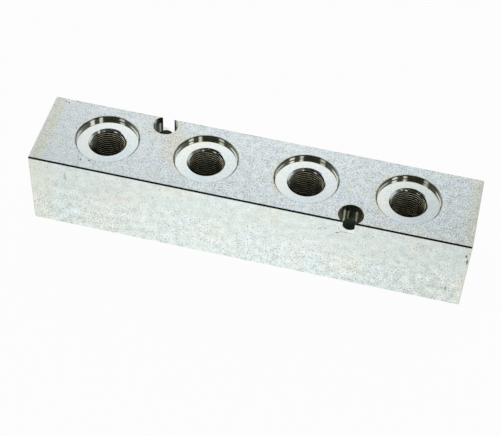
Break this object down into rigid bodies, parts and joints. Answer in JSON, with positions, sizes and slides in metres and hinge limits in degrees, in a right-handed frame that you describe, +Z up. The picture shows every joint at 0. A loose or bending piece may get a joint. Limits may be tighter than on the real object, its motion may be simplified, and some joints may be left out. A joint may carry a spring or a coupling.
{
  "type": "hydraulic manifold block",
  "caption": "Square steel bar manifold: threaded outlet ports in wide spot faces along the top, joined by a lengthwise gallery, with diagonal fixing holes.",
  "frame": {"origin": "middle of the underside", "axes": "+X along the bar, +Z up through the outlet ports"},
  "size_m": [0.1976, 0.04, 0.04],
  "materials": {
    "zinc_plated_steel": "blue-passivated zinc plating over machined steel, satin, with fine speckle"
  },
  "bodies": {
    "root": {"manifold_block": "zinc_plated_steel"}
  },
  "joints": []
}
